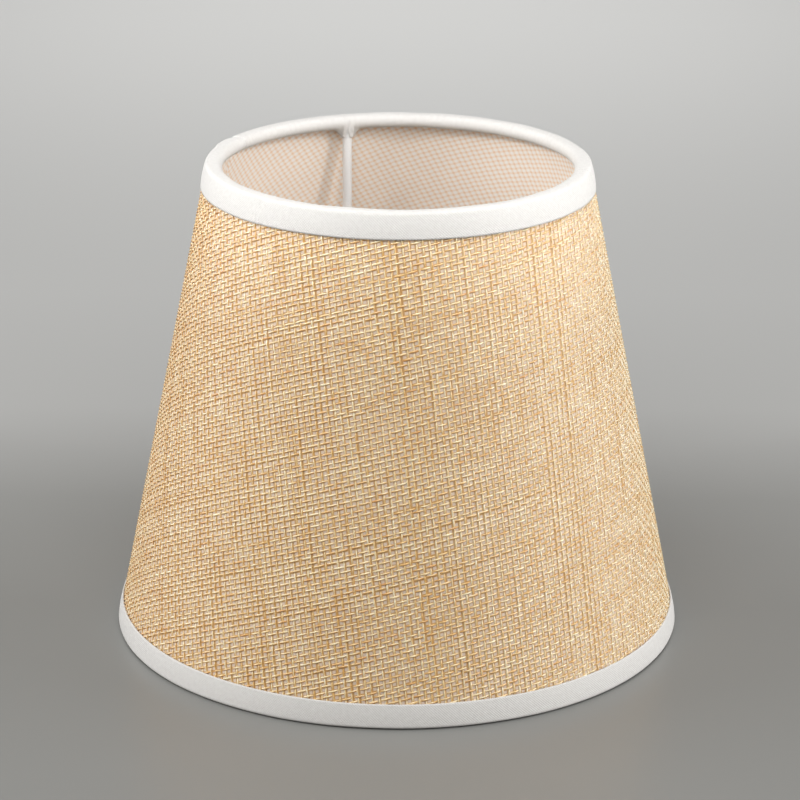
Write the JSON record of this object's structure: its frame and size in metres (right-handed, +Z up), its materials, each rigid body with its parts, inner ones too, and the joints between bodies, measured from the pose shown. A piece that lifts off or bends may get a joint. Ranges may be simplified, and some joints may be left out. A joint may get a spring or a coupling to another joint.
{
  "type": "lamp shade",
  "caption": "Small empire lamp shade of woven straw-coloured fabric on a translucent lining, with rolled white trims and a wire frame whose recessed fitter ring sits on a lampholder.",
  "frame": {"origin": "on the shade's axis, at the foot of the bottom trim", "axes": "+Z up along the shade's axis, -Y towards the side seen in front, +X to the right of it"},
  "size_m": [0.1796, 0.1796, 0.151],
  "materials": {
    "straw_weave": "satin",
    "lining_film": "matte translucent",
    "adhesive_tape": "clear",
    "white_trim": "matte",
    "white_wire": "semi-gloss"
  },
  "bodies": {
    "root": {"fabric_cover": "straw_weave", "liner": "lining_film", "seam_tape": "adhesive_tape", "top_trim": "white_trim", "bottom_trim": "white_trim", "top_ring": "white_wire", "bottom_ring": "white_wire", "drop_arm_back": "white_wire", "drop_arm_left": "white_wire", "drop_arm_right": "white_wire", "fitter_washer": "white_wire"}
  },
  "joints": []
}
